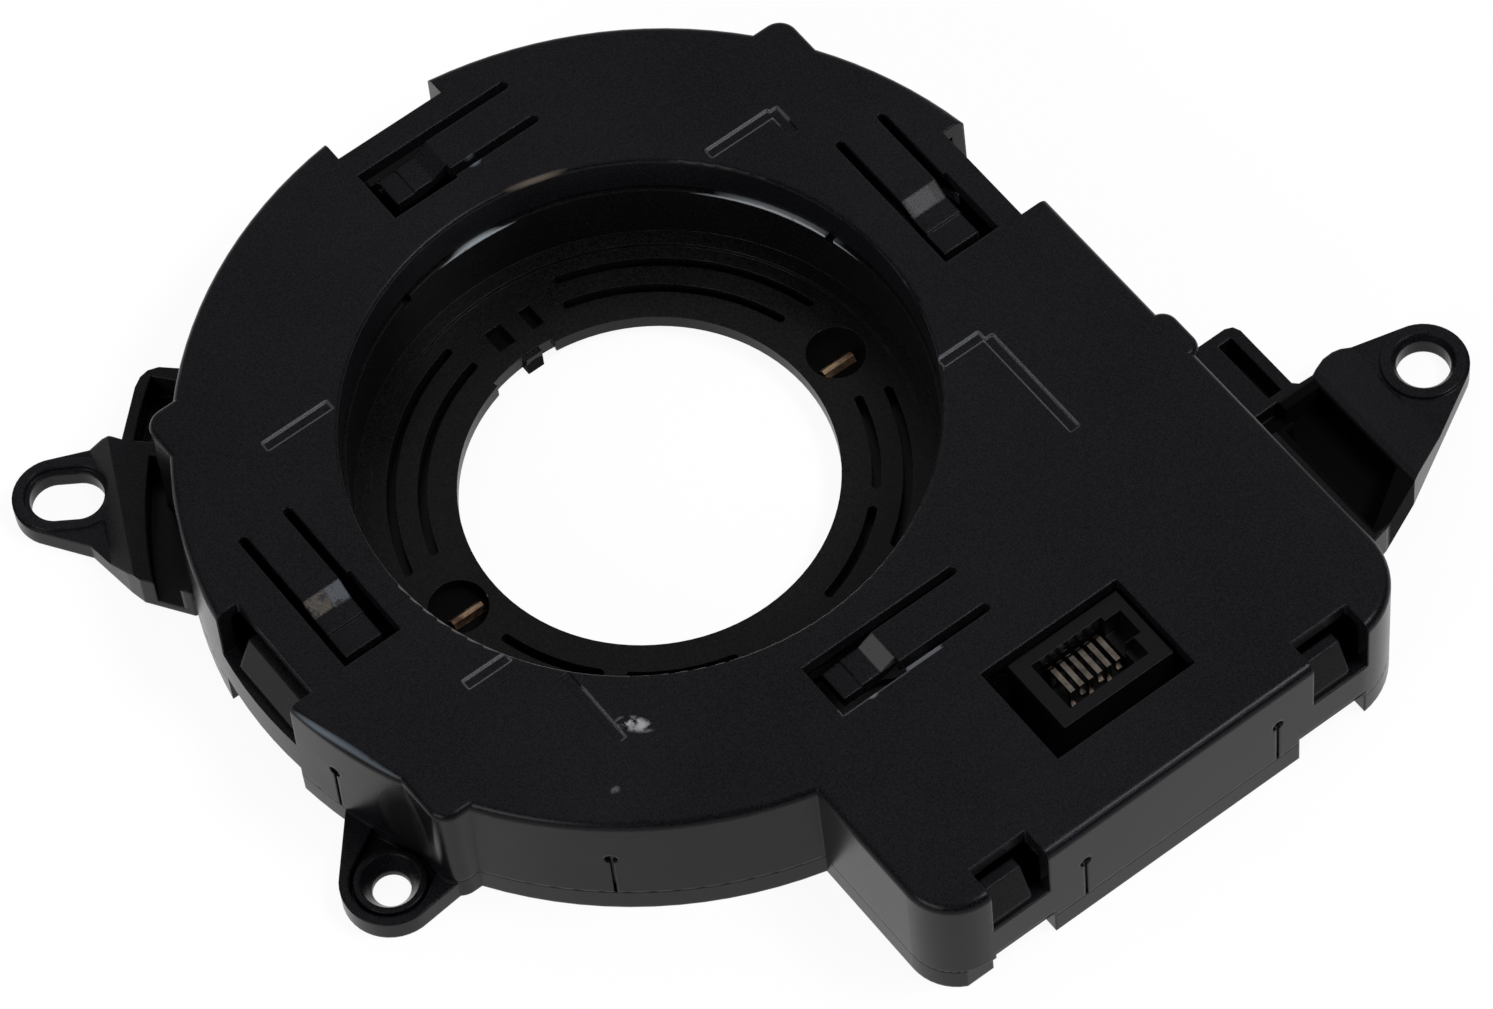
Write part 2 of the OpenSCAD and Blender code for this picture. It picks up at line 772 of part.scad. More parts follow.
// Ribs that stiffen the floor, between the journal ring and the rim
module base_ribs() {
    rib_t = 1.2;
    for (a = [25, 65, 115, 155, 205, 240])
        rotate([0, 0, a]) translate([journal_r + journal_t - 0.5, -rib_t / 2, floor_z - eps])
            cube([ring_r - wall - lip_t - journal_r - journal_t + 0.6, rib_t, 2]);
}

module base() {
    color("#222226") difference() {
        union() {
            slab(under_z, floor_z) rim_plan();
            slab(under_z, seam_z) difference() {
                rim_plan();
                body_plan(-wall);
            }
            slab(floor_z - eps, seam_z + lip_h) difference() {
                body_plan(-wall - seat_gap);
                body_plan(-wall - seat_gap - lip_t);
            }
            tube(journal_r + journal_t, journal_r, floor_z - eps, journal_h);
            base_ribs();
            base_posts();
            difference() {
                union() {
                    ear_right_body();
                    ear_rear_body();
                    ear_left_body();
                }
                slab(seam_z, far) body_plan(seat_gap);
                slab(floor_z, far) body_plan(-wall / 2);
                ear_right_pockets();
                ear_rear_pockets();
                ear_left_dish();
            }
        }
        rim_openings();
        translate([0, 0, -50]) cylinder(r = base_hole_r, h = far);
        translate([ear_right[0], ear_right[1], under_z]) {
            translate([0, 0, -1]) cylinder(r = hole_right_r, h = far);
            translate([0, 0, hole_land])
                cylinder(r1 = hole_right_r, r2 = hole_right_r + 2 * hole_flare, h = 2 * land_rest);
        }
        translate([ear_left[0], ear_left[1], under_z]) {
            translate([0, 0, -1]) cylinder(r = hole_left_r, h = far);
            translate([0, 0, 0.8]) cylinder(r1 = hole_left_r, r2 = hole_left_r + 1.3, h = 2.1);
        }
        slab(-50, far) slot_shape(slot_hole_r);
        slab(under_z + hole_land, far) slot_shape(slot_hole_r + 0.6);
        // Shallow step round the underside of the hole, and tool openings under the front hooks
        tube(base_hole_r + 4, base_hole_r - 1, under_z - 1, under_z + 0.3);
        for (x = hook_xs) translate([x - hook_w / 2, front_y + wall + seat_gap + hook_t + 0.4, under_z - 1])
            cube([hook_w, 1.6, floor_t + 2]);
    }
    color("#222226") hooks();
}

// DRIVE ROTOR

module arc_slot(r, w, a0, a1, z0, z1) {
    slab(z0, z1) {
        intersection() {
            difference() {
                circle(r = r + w / 2);
                circle(r = r - w / 2);
            }
            sector(a0, a1, r + 5);
        }
        for (a = [a0, a1]) translate(polar(r, a)) circle(d = w, $fn = 24);
    }
}

module drive_rotor() {
    hook_z = -1;
    color("#242428") difference() {
        union() {
            cylinder(r = skirt_r, h = drive_t);
            tube(sleeve_out_r, sleeve_in_r, drive_t - eps, sleeve_z);
            slab(rim_z, rim_z + tooth_w) difference() {
                union() {
                    circle(r = rotor_pitch_r - 1.15 * gear_mod);
                    polygon(gear_outline(rotor_teeth, gear_mod));
                }
                circle(r = sleeve_out_r - 0.3);
            }
            tube(sleeve_in_r + 0.1, well_r - 2.3, drive_t - eps, drive_t + 0.5);
        }
        translate([0, 0, -5]) cylinder(r = bore_r, h = far);
        slab(-5, far) intersection() {
            circle(r = relief_r);
            sector(relief_from, relief_to, relief_r + 5);
        }
        // Spring slots: long pairs at the rear, broken rows at the front
        for (s = [0, 1]) mirror([s, 0, 0]) {
            arc_slot(slot_in_r, slot_w, 17.5, 75, hook_z, far);
            arc_slot(slot_out_r, slot_w, 14.5, 74.5, hook_z, far);
            arc_slot(slot_in_r, slot_w, -41, -15, hook_z, far);
            arc_slot(slot_in_r, slot_w, -75, -48.5, hook_z, far);
            arc_slot(slot_out_r, slot_w, -56, -15.4, hook_z, far);
            translate([pocket_at, 0, drive_t - pocket_h]) cylinder(r = pocket_r, h = far);
        }
        for (r = [[-3.1, 2.3], [1.7, 1.6]])
            translate([r[0], slot_in_r - 1.2, drive_t - nick_h]) cube([r[1], 3.1, 5]);
        // Index nicks in the top of the sleeve
        for (a = [14, 107])
            rotate([0, 0, a]) translate([sleeve_in_r - 1, -0.6, sleeve_z - 1.2]) cube([4, 1.2, 2]);
    }
    color("#242428") difference() {
        translate([key_x - key_w / 2, key_r, under_z + 0.05])
            cube([key_w, relief_r + 0.8 - key_r, key_drop + 1.5]);
        difference() {
            cylinder(r = far, h = far);
            translate([0, 0, -1]) cylinder(r = relief_r + 0.1, h = far + 2);
        }
    }
}

// Springy contact clip in the bottom of a round pocket
module clip(side) {
    color("#c98a52") translate([side * (pocket_at - 0.5), -0.9, drive_t - pocket_h]) {
        translate([-clip_l / 2, -clip_w / 2, 0]) cube([clip_l, clip_w, 0.3]);
        translate([-clip_l / 2, -clip_w / 2, 0.3 - eps]) rotate([90, 0, 90]) linear_extrude(height = clip_l)
            polygon([[0, 0], [clip_w, 0], [clip_w * 0.7, clip_h - 0.3], [clip_w * 0.3, clip_h - 0.3]]);
    }
}

// MEASURING GEARS

module measuring_gear(centre, n, a) {
    turn = mesh_turn(a, rotor_teeth, n);
    color("#1a1a1c") translate([centre[0], centre[1], gear_z]) rotate([0, 0, turn]) difference() {
        union() {
            linear_extrude(height = tooth_w) {
                circle(r = gear_mod * n / 2 - 1.15 * gear_mod);
                polygon(gear_outline(n, gear_mod));
            }
            cylinder(r = gear_hub_r, h = tooth_w + gear_hub_h);
        }
        translate([0, 0, -1]) cylinder(r = axle_r + running, h = 10);
        tube(magnet_out_r + magnet_gap, magnet_in_r - magnet_gap, -1, magnet_t);
        translate([0, 0, tooth_w - 0.7]) difference() {
            cylinder(r = magnet_out_r + 0.6, h = 2);
            translate([0, 0, -1]) cylinder(r = gear_hub_r, h = 4);
        }
    }
}

module ring_magnet(centre) {
    color("#55575c") translate([centre[0], centre[1], gear_z]) tube(magnet_out_r, magnet_in_r, 0, magnet_t);
}

// CIRCUIT BOARD

module board_plan() {
    difference() {
        union() {
            translate([board_x0, board_y0]) square([board_x1 - board_x0 - board_corner, board_y1 - board_y0]);
            translate([board_x1 - board_corner - 1, board_y0 + board_corner])
                square([board_corner + 1, board_y1 - board_y0 - board_corner]);
            translate([board_x1 - board_corner, board_y0 + board_corner]) circle(r = board_corner);
        }
        circle(r = board_arc_r);
        for (g = [gear_a, gear_b]) translate(g) circle(r = shoulder_r + 0.4);
        // Recesses behind the front notches, where the hooks bend in
        for (r = recess_xs) translate([r[0], board_y0 - 1]) square([r[1] - r[0], recess_y - board_y0 + 1]);
    }
}

module contact_holes(extra) {
    w = contact_w + 2 * extra;
    for (i = [0:5]) translate([contact_x0 + i * contact_pitch - w / 2, contact_back - w / 2, -20])
        cube([w, w, 60]);
}

module circuit_board() {
    color("#14301f") difference() {
        slab(board_z, board_top) board_plan();
        contact_holes(contact_slack);
    }
}

// Chip with a row of gull wing leads on each long side
module leaded_chip(l, w, t, leads, pitch) {
    lead_w = 0.35;
    lead_out = 0.9;
    translate([-l / 2, -w / 2, 0.1]) cube([l, w, t - 0.1]);
    for (i = [0:leads - 1], s = [-1, 1]) {
        x = (i - (leads - 1) / 2) * pitch;
        y = s > 0 ? w / 2 - 0.1 : -w / 2 - lead_out + 0.1;
        translate([x - lead_w / 2, y, 0]) cube([lead_w, lead_out, 0.3]);
    }
}

module angle_chip(centre, a) {
    p = centre + polar(chip_at, a);
    color("#2a2a2c") translate([p[0], p[1], board_top]) rotate([0, 0, a]) leaded_chip(3, 3, chip_t, 3, 0.95);
}

// The parts on the board stand clear of the gears' tips by part_gap
module microcontroller() {
    y = gear_b[1] - gear_tip_b - part_gap - 5.3;
    color("#26262a") translate([right_x - 15, y, board_top]) {
        leaded_chip(9, 9, 1.4, 8, 1);
        rotate([0, 0, 90]) leaded_chip(9, 9, 1.4, 8, 1);
    }
}

module bus_transceiver() {
    x = gear_b[0] + gear_tip_b + part_gap + 2.75;
    color("#26262a") translate([x, gear_b[1] - 7, board_top]) rotate([0, 0, 90])
        leaded_chip(4.9, 3.9, 1.5, 4, 1.27);
}

module voltage_regulator() {
    x = gear_b[0] + gear_tip_b + part_gap + 2.8;
    color("#26262a") translate([x, gear_b[1] + 3, board_top]) rotate([0, 0, 90]) {
        leaded_chip(6.5, 3.5, 1.6, 3, 2.3);
        translate([-1.6, 1.6, 0]) cube([3.2, 1.2, 0.5]);
    }
}

module crystal() {
    color("#c9c9c4") translate([right_x - 26, front_y + 9, board_top]) {
        cylinder(r = 1.7, h = 1.5);
        translate([5, 0, 0]) cylinder(r = 1.7, h = 1.5);
        translate([0, -1.7, 0]) cube([5, 3.4, 1.5]);
    }
}

module bulk_capacitor() {
    y = gear_a[1] - gear_tip_a - part_gap - 2.1;
    color("#c9a24a") translate([gear_a[0] + 3, y, board_top]) {
        translate([-3.6, -2.1, 0.3]) cube([7.2, 4.2, 2.6]);
        for (s = [-1, 1]) translate([s * 3.6 - 0.5, -1.2, 0]) cube([1, 2.4, 1.2]);
    }
}

module line_choke() {
    color("#3b3b3f") translate([right_x - 34.7, front_y + 7.8, board_top]) {
        translate([-2.2, -2.2, 0]) cube([4.4, 4.4, 0.6]);
        cylinder(r = 2.1, h = 2.8);
    }
}

module chip_capacitors() {
    places = [[24, 6.2], [27, 6.2], [31, 27], [31, 31], [33, 36], [8, 26], [9, 12]];
    color("#b59a6a") for (p = places)
        translate([p[0] - wing_left, front_y + p[1], board_top]) cube([2, 1.2, 0.9]);
}

// SOCKET AND CONTACTS

module socket_body() {
    l = socket_l;
    w = socket_w;
    t = socket_wall;
    color("#28282c") difference() {
        translate([socket_x - l / 2, socket_y - w / 2, board_top]) cube([l, w, socket_top - board_top]);
        translate([socket_x - l / 2 + t, socket_y - w / 2 + 1.6, socket_floor])
            cube([l - 2 * t - 1.4, w - 3.2, far]);
        // Keying recess in the right hand end
        translate([socket_x + l / 2 - t - 1.6, socket_y - 0.8, socket_floor + 2.4]) cube([2.4, 3.6, far]);
        translate([socket_x + l / 2 - t - 1.6, socket_y - w / 2 + 1.6, socket_floor + 3.8])
            cube([1.4, 2.6, far]);
        contact_holes(contact_slack);
    }
}

// Contact: leg through the board, bow along the socket, front leg down into it
module contact(i) {
    w = contact_w;
    t = contact_t;
    foot_z = i % 2 == 0 ? contact_foot : contact_foot + 1.4;
    color("#d9c48a") translate([contact_x0 + i * contact_pitch - w / 2, 0, 0]) {
        translate([0, contact_back - w / 2, contact_tail]) cube([w, w, contact_top - contact_tail - 0.4]);
        translate([0, contact_front, contact_top - t]) cube([w, contact_back - contact_front - 0.3, t]);
        translate([0, contact_back - 0.3, contact_top - 0.6]) rotate([0, 90, 0])
            cylinder(r = 0.6, h = w, $fn = 32);
        translate([0, contact_front, foot_z]) cube([w, t, contact_top - foot_z - 0.1]);
        translate([0, contact_front - 0.3, foot_z]) cube([w, 0.8, 0.5]);
    }
}

cover();
base();
drive_rotor();
clip(1);  // clip_east
clip(-1);  // clip_west
measuring_gear(gear_a, teeth_a, angle_a);  // measuring_gear_a
measuring_gear(gear_b, teeth_b, angle_b);  // measuring_gear_b
ring_magnet(gear_a);  // ring_magnet_a
ring_magnet(gear_b);  // ring_magnet_b
circuit_board();
angle_chip(gear_a, -35);  // angle_chip_a
angle_chip(gear_b, -35);  // angle_chip_b
microcontroller();
bus_transceiver();
voltage_regulator();
crystal();
bulk_capacitor();
line_choke();
chip_capacitors();
socket_body();
contact(0);  // contact_1
contact(1);  // contact_2
contact(2);  // contact_3
contact(3);  // contact_4
contact(4);  // contact_5
contact(5);  // contact_6
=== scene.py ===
import json
import math

import bpy
from mathutils import Matrix, Vector


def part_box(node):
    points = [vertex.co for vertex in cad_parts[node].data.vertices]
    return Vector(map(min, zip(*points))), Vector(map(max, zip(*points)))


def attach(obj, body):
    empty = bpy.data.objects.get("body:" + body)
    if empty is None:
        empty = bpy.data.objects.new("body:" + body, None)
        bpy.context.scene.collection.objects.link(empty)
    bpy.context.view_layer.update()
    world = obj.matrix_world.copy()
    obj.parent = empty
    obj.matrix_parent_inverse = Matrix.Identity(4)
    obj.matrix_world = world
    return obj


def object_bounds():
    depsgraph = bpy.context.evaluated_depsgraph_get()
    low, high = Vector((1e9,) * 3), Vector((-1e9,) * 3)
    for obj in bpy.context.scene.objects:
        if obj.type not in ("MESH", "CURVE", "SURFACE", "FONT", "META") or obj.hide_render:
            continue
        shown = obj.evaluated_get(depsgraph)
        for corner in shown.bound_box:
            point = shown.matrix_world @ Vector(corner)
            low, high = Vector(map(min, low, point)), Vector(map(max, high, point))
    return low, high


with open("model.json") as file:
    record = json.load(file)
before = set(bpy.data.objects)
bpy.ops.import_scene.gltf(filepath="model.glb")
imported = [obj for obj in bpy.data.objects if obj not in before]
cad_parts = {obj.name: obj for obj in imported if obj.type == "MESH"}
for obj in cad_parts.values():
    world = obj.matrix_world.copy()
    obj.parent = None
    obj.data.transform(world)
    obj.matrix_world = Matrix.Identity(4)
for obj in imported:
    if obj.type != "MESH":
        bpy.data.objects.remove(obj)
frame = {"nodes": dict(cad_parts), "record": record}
nodes = frame["nodes"]
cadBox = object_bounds()
scene = bpy.context.scene
mm = 0.001
underZ = cadBox[0][2]
print("frame loaded,", len(nodes), "CAD nodes")

# Camera: place and aim in millimetres, roll in degrees
cameraView = {"place": (-206.81, -363.88, 672.27), "aim": (4.79, -12.74, 7.5), "roll": -7.0, "lens": 167.04}


def placeCamera(view):
    place = Vector(view["place"]) * mm
    back = (place - Vector(view["aim"]) * mm).normalized()
    level = Vector((0, 0, 1)).cross(back).normalized()
    rise = back.cross(level)
    roll = math.radians(view["roll"])
    right = level * math.cos(roll) + rise * math.sin(roll)
    up = back.cross(right)
    cam = bpy.data.cameras.new("photoCamera")
    cam.sensor_fit = "HORIZONTAL"
    cam.sensor_width = 36
    cam.lens = view["lens"]
    cam.clip_start = 0.01
    cam.clip_end = 20
    obj = bpy.data.objects.new("photoCamera", cam)
    obj.matrix_world = Matrix((right, up, back)).transposed().to_4x4()
    obj.matrix_world.translation = place
    scene.collection.objects.link(obj)
    scene.camera = obj


placeCamera(cameraView)
scene.view_settings.view_transform = "Standard"


# Node tree helpers
def newTree(name):
    mat = bpy.data.materials.new(name)
    mat.use_nodes = True
    mat.node_tree.nodes.clear()
    return mat, mat.node_tree


def addNode(tree, kind, **settings):
    node = tree.nodes.new(kind)
    for key, value in settings.items():
        setattr(node, key, value)
    return node


def feed(tree, socket, value):
    if isinstance(value, bpy.types.NodeSocket):
        tree.links.new(value, socket)
    elif isinstance(value, tuple) and len(socket.default_value) == 4 and len(value) == 3:
        socket.default_value = (*value, 1)
    else:
        socket.default_value = value


def mathNode(tree, operation, a, b=0.0, clamp=False):
    node = addNode(tree, "ShaderNodeMath", operation=operation, use_clamp=clamp)
    feed(tree, node.inputs[0], a)
    feed(tree, node.inputs[1], b)
    return node.outputs[0]


def remap(tree, value, low, high, toLow=0.0, toHigh=1.0):
    node = addNode(tree, "ShaderNodeMapRange", clamp=True)
    feed(tree, node.inputs["Value"], value)
    for name, v in (("From Min", low), ("From Max", high), ("To Min", toLow), ("To Max", toHigh)):
        feed(tree, node.inputs[name], v)
    return node.outputs["Result"]


def mixColour(tree, share, a, b):
    node = addNode(tree, "ShaderNodeMix", data_type="RGBA")
    for socket, v in ((node.inputs[0], share), (node.inputs[6], a), (node.inputs[7], b)):
        feed(tree, socket, v)
    return node.outputs[2]


def noise(tree, coords, scale, detail, rough=0.5, stretch=(1, 1, 1), turn=0.0):
    place = addNode(tree, "ShaderNodeMapping")
    place.inputs["Scale"].default_value = stretch
    place.inputs["Rotation"].default_value = (0, 0, math.radians(turn))
    feed(tree, place.inputs["Vector"], coords)
    node = addNode(tree, "ShaderNodeTexNoise")
    feed(tree, node.inputs["Vector"], place.outputs[0])
    for name, v in (("Scale", scale), ("Detail", detail), ("Roughness", rough)):
        feed(tree, node.inputs[name], v)
    return node.outputs["Fac"]


def times(tree, *factors):
    product = factors[0]
    for factor in factors[1:]:
        product = mathNode(tree, "MULTIPLY", product, factor)
    return product


# Share of its half size over which a spot keeps its full strength
boxCore = 0.85
roundCore = 0.4


# 1 inside an ellipsoid or a box of that half size in millimetres, falling to 0 at its edge
def spotMask(tree, coords, spot):
    place = addNode(tree, "ShaderNodeMapping", vector_type="TEXTURE")
    place.inputs["Location"].default_value = [v * mm for v in spot["at"]]
    place.inputs["Rotation"].default_value = (0, 0, math.radians(spot.get("turn", 0)))
    place.inputs["Scale"].default_value = [v * mm for v in spot["half"]]
    feed(tree, place.inputs["Vector"], coords)
    if spot.get("boxed"):
        split = addNode(tree, "ShaderNodeSeparateXYZ")
        feed(tree, split.inputs[0], place.outputs[0])
        sides = [mathNode(tree, "ABSOLUTE", side) for side in split.outputs]
        far = mathNode(tree, "MAXIMUM", mathNode(tree, "MAXIMUM", sides[0], sides[1]), sides[2])
        return remap(tree, far, 1.0, spot.get("core", boxCore))
    far = addNode(tree, "ShaderNodeVectorMath", operation="LENGTH")
    feed(tree, far.inputs[0], place.outputs[0])
    return remap(tree, far.outputs["Value"], 1.0, spot.get("core", roundCore))


# What every moulded finish starts from: ranges are the noise values where a mask begins and ends
plasticBase = {
    "driftScale": 45, "driftRange": (0.3, 0.7), "driftInSpeck": 0.25, "speckRange": (0.42, 0.83),
    "edgeSamples": 6, "edgeRange": (0.985, 0.80), "wornColour": (0.09, 0.09, 0.095),
    "edgeHighlights": [], "rubScale": 420, "rubRange": (0.5, 0.68), "rubGloss": -0.3,
    "dust": 0.25, "dustScale": 2600, "dustRange": (0.74, 0.80), "dustColour": (0.2, 0.2, 0.21),
    "dustPatch": 38, "dustPatchRange": (0.5, 0.75), "scuffsAndHighlights": [], "scuffSoft": 0.12,
    "shadedDulls": [], "paintedShadeColour": (0.0004, 0.0004, 0.0005), "dullRough": 0.9, "ior": 1.5, "specular": 0.5,
    "grainDepth": 0.02, "peel": 0.15, "peelScale": 160, "peelDepth": 0.1,
}


# Moulded plastic: grain and orange peel in the bump, drifting roughness, dust and rubbed edges, with
# painted highlights and painted shade where given
def mouldedPlastic(name, given):
    look = {**plasticBase, **given}
    mat, tree = newTree(name)
    coords = addNode(tree, "ShaderNodeTexCoord").outputs["Object"]
    shader = addNode(tree, "ShaderNodeBsdfPrincipled")
    out = addNode(tree, "ShaderNodeOutputMaterial")
    feed(tree, out.inputs[0], shader.outputs[0])
    soft = addNode(tree, "ShaderNodeBevel", samples=look["edgeSamples"])
    soft.inputs["Radius"].default_value = look["edge"] * mm
    drift = noise(tree, coords, look["driftScale"], detail=4, rough=0.55)
    fine = noise(tree, coords, look["grainScale"], detail=2)
    mottle = mathNode(tree, "ADD", fine, times(tree, drift, look["driftInSpeck"]))
    colour = mixColour(tree, remap(tree, mottle, *look["speckRange"]), look["dark"], look["colour"])

    # Rubbed edges, where the softened normal leaves the face's own, then painted highlights on given
    # stretches of edge
    face = addNode(tree, "ShaderNodeNewGeometry").outputs["True Normal"]
    bend = addNode(tree, "ShaderNodeVectorMath", operation="DOT_PRODUCT")
    feed(tree, bend.inputs[0], soft.outputs[0])
    feed(tree, bend.inputs[1], face)
    edge = remap(tree, bend.outputs["Value"], *look["edgeRange"])
    rubbing = noise(tree, coords, look["rubScale"], detail=4, rough=0.7)
    worn = times(tree, edge, remap(tree, rubbing, *look["rubRange"]), look["wear"])
    colour = mixColour(tree, worn, colour, look["wornColour"])
    # Painted highlights: a pale colour laid along given stretches of edge
    for spot in look["edgeHighlights"]:
        share = times(tree, edge, spotMask(tree, coords, spot), spot["share"])
        colour = mixColour(tree, share, colour, spot["colour"])

    # Fine dust that lies as scattered specks, then the scuffs and painted highlights, and the gloss
    dust = remap(tree, noise(tree, coords, look["dustScale"], detail=2), *look["dustRange"])
    patch = noise(tree, coords, look["dustPatch"], detail=3, rough=0.6)
    patch = remap(tree, patch, *look["dustPatchRange"])
    colour = mixColour(tree, times(tree, dust, patch, look["dust"]), colour, look["dustColour"])
    for spot in look["scuffsAndHighlights"]:
        grit = noise(tree, coords, spot["grain"], detail=3, rough=0.6, turn=spot.get("turn", 0))
        grit = remap(tree, grit, spot["low"], spot["low"] + look["scuffSoft"])
        share = times(tree, spotMask(tree, coords, spot), grit, spot["share"])
        colour = mixColour(tree, share, colour, spot["colour"])

    smooth = look["rough"] - look["roughDrift"]
    coarse = look["rough"] + look["roughDrift"]
    rough = remap(tree, drift, *look["driftRange"], smooth, coarse)
    rough = mathNode(tree, "ADD", rough, times(tree, worn, look["rubGloss"]), True)
    # Painted shade: given hollows darkened to near black, and made rougher
    for shadedSpot in look["shadedDulls"]:
        mask = spotMask(tree, coords, shadedSpot)
        colour = mixColour(tree, mask, colour, look["paintedShadeColour"])
        rough = mathNode(tree, "MAXIMUM", rough, times(tree, mask, look["dullRough"]))
    feed(tree, shader.inputs["Base Color"], colour)
    feed(tree, shader.inputs["Roughness"], rough)
    shader.inputs["IOR"].default_value = look["ior"]
    shader.inputs["Specular IOR Level"].default_value = look["specular"]

    grain = addNode(tree, "ShaderNodeBump")
    grain.inputs["Strength"].default_value = look["grain"]
    grain.inputs["Distance"].default_value = look["grainDepth"] * mm
    feed(tree, grain.inputs["Height"], fine)
    feed(tree, grain.inputs["Normal"], soft.outputs[0])
    peel = addNode(tree, "ShaderNodeBump")
    peel.inputs["Strength"].default_value = look["peel"]
    peel.inputs["Distance"].default_value = look["peelDepth"] * mm
    feed(tree, peel.inputs["Height"], noise(tree, coords, look["peelScale"], detail=2))
    feed(tree, peel.inputs["Normal"], grain.outputs[0])
    feed(tree, shader.inputs["Normal"], peel.outputs[0])
    return mat


metalBase = {
    "stainScale": 700, "stainRange": (0.35, 0.65), "streakScale": 900, "streakRange": (0.3, 0.7),
    "stretch": (0.15, 1, 1), "smoother": 0.1, "rougher": 0.12, "metal": 1.0, "bump": 0.2, "bumpDepth": 0.02,
}


# Drawn or cast metal: brushed streaks, stained patches
def plainMetal(name, given):
    look = {**metalBase, **given}
    mat, tree = newTree(name)
    coords = addNode(tree, "ShaderNodeTexCoord").outputs["Object"]
    shader = addNode(tree, "ShaderNodeBsdfPrincipled")
    out = addNode(tree, "ShaderNodeOutputMaterial")
    feed(tree, out.inputs[0], shader.outputs[0])
    stain = noise(tree, coords, look["stainScale"], detail=4, rough=0.6)
    stain = remap(tree, stain, *look["stainRange"])
    feed(tree, shader.inputs["Base Color"], mixColour(tree, stain, look["colour"], look["stain"]))
    streak = noise(tree, coords, look["streakScale"], detail=3, rough=0.6, stretch=look["stretch"])
    smooth = look["rough"] - look["smoother"]
    coarse = look["rough"] + look["rougher"]
    feed(tree, shader.inputs["Roughness"], remap(tree, streak, *look["streakRange"], smooth, coarse))
    shader.inputs["Metallic"].default_value = look["metal"]
    bump = addNode(tree, "ShaderNodeBump")
    bump.inputs["Strength"].default_value = look["bump"]
    bump.inputs["Distance"].default_value = look["bumpDepth"] * mm
    feed(tree, bump.inputs["Height"], streak)
    feed(tree, shader.inputs["Normal"], bump.outputs[0])
    return mat


# Circuit board: mask colour with traces that show through it as a slightly paler maze
def boardFinish(name, look):
    mat, tree = newTree(name)
    coords = addNode(tree, "ShaderNodeTexCoord").outputs["Object"]
    shader = addNode(tree, "ShaderNodeBsdfPrincipled")
    out = addNode(tree, "ShaderNodeOutputMaterial")
    feed(tree, out.inputs[0], shader.outputs[0])
    cells = addNode(tree, "ShaderNodeTexVoronoi", distance="CHEBYCHEV", feature="DISTANCE_TO_EDGE")
    cells.inputs["Scale"].default_value = look["cells"]
    feed(tree, cells.inputs["Vector"], coords)
    trace = remap(tree, cells.outputs["Distance"], *look["traceRange"])
    weave = noise(tree, coords, look["weaveScale"], detail=2, stretch=look["weaveStretch"])
    base = mixColour(tree, remap(tree, weave, *look["weaveRange"]), look["colour"], look["dark"])
    feed(tree, shader.inputs["Base Color"], mixColour(tree, trace, look["trace"], base))
    feed(tree, shader.inputs["Roughness"], remap(tree, weave, *look["glossRange"], *look["rough"]))
    bump = addNode(tree, "ShaderNodeBump", invert=True)
    bump.inputs["Strength"].default_value = look["bump"]
    bump.inputs["Distance"].default_value = look["traceDepth"] * mm
    feed(tree, bump.inputs["Height"], trace)
    feed(tree, shader.inputs["Normal"], bump.outputs[0])
    return mat


# Places and half sizes of all spots are in millimetres, turns in degrees about z
edgeHighlightHalfZ = 0.6
edgeHighlightColour = (0.26, 0.27, 0.30)


# A stretch of edge with a painted highlight, a pale cool colour laid along it
def paintedEdgeHighlight(at, halfX, halfY, share):
    half = (halfX, halfY, edgeHighlightHalfZ)
    return {"at": at, "half": half, "boxed": True, "share": share, "colour": edgeHighlightColour}


# Grit of a colour of its own, for real scuffs and for painted highlights: grain is its fineness, low the
# noise value where it begins
def scuffAndHighlight(at, half, share, colour, grain=900, low=0.25, **more):
    return {"at": at, "half": half, "share": share, "colour": colour, "grain": grain, "low": low, **more}


# The fine marks that run along x, each with its middle and length
markRows = ((-31, 23, 9), (31.5, 23, 9), (-33.1, -16.4, 5.8), (33.1, -16.4, 5.8))
markZ = 16.3
edgeHighlightPast = 0.4
# Painted highlights along the edges of the marks that run along x
housingEdgeHighlights = [paintedEdgeHighlight((x, y, markZ), long / 2 + edgeHighlightPast, 1.05, 0.75) for x, y, long in markRows]
# Painted highlights on the marks that run along y, then on the near edge of the front latch
housingEdgeHighlights += [
    paintedEdgeHighlight((36.6, -24.8, markZ), 1.1, 8.6, 0.6),
    paintedEdgeHighlight((-25.8, -29.0, markZ), 1.2, 4.7, 0.5),
    paintedEdgeHighlight((36.6, 22.2, markZ), 1.1, 1.4, 0.5),
    paintedEdgeHighlight((0.2, -45.5, 16.2), 7.8, 0.8, 0.5),
]

# Painted shade, with a dull roughness: the dark pocket beside the right ear and the hollow beside the left
# one darkened to near black
earShadedDulls = [
    {"at": (62.4, -48.5, 1.2), "half": (4.1, 10.5, 2.8), "boxed": True, "core": 0.95},
    {"at": (-46.9, -21.3, 7), "half": (5.2, 5.2, 9), "core": 0.6},
]

